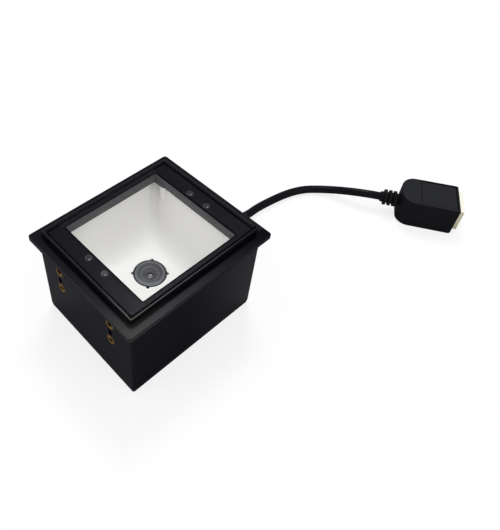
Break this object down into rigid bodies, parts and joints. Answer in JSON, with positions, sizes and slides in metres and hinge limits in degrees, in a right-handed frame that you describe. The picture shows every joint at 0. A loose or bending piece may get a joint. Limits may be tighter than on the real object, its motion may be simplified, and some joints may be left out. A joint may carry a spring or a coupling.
{
  "type": "fixed barcode reader",
  "caption": "Window-up fixed barcode reader in a flanged black case, with a white reflector bowl round its lens and a short cable to a socket.",
  "frame": {"origin": "under the middle of the case, on the surface that the reader stands on, rear cover down", "axes": "+Z out of the window, +X towards the side wall that the cable leaves, +Y along the short side of the flange"},
  "size_m": [0.2068, 0.1077, 0.0533],
  "materials": {
    "case_black": "fine matte texture",
    "seal_rubber": "matt",
    "screw_steel": "satin",
    "window_clear": "polished",
    "border_black": "printed ink",
    "tape_black": "matt",
    "light_pipe": "frosted clear",
    "board_green": "solder mask",
    "board_white": "white solder mask",
    "led_white": "resin",
    "lead_amber": "polyimide film",
    "reflector_white": "matt white",
    "barrel_black": "anodised satin",
    "lens_glass": "coated",
    "holder_black": "matt",
    "sensor_dark": "polished",
    "spacer_brass": "turned",
    "chip_black": "matt",
    "header_ivory": "matt",
    "cable_black": "satin sheath",
    "grommet_rubber": "matt",
    "relief_rubber": "satin",
    "connector_black": "fine matte texture",
    "insert_brass": "turned",
    "shell_nickel": "nickel plate",
    "insert_black": "moulded",
    "contact_gold": "gold flash"
  },
  "bodies": {
    "root": {"case": "case_black", "rear_cover": "case_black", "cover_seal": "seal_rubber", "case_screws": "screw_steel", "window_plate": "window_clear", "window_border": "border_black", "window_tape": "tape_black", "light_pipes": "light_pipe", "indicator_boards": "board_green", "indicator_leds": "led_white", "indicator_leads": "lead_amber", "reflector": "reflector_white", "reflector_screws": "screw_steel", "lens_barrel": "barrel_black", "front_lens": "lens_glass", "lens_rings": "barrel_black", "rear_lens": "lens_glass", "lens_holder": "holder_black", "image_sensor": "sensor_dark", "light_board": "board_white", "light_leds": "led_white", "board_spacers": "spacer_brass", "light_screws": "screw_steel", "board_link": "chip_black", "main_board": "board_green", "decoder_chip": "chip_black", "memory_chip": "chip_black", "buzzer": "chip_black", "board_header": "header_ivory", "inner_plug": "header_ivory", "cable_tail": "cable_black", "grommet": "grommet_rubber", "inserts_left": "insert_brass", "inserts_right": "insert_brass", "cable": "cable_black", "strain_relief": "relief_rubber", "connector_housing": "connector_black", "connector_shell": "shell_nickel", "connector_insert": "insert_black", "connector_contacts": "contact_gold"}
  },
  "joints": []
}
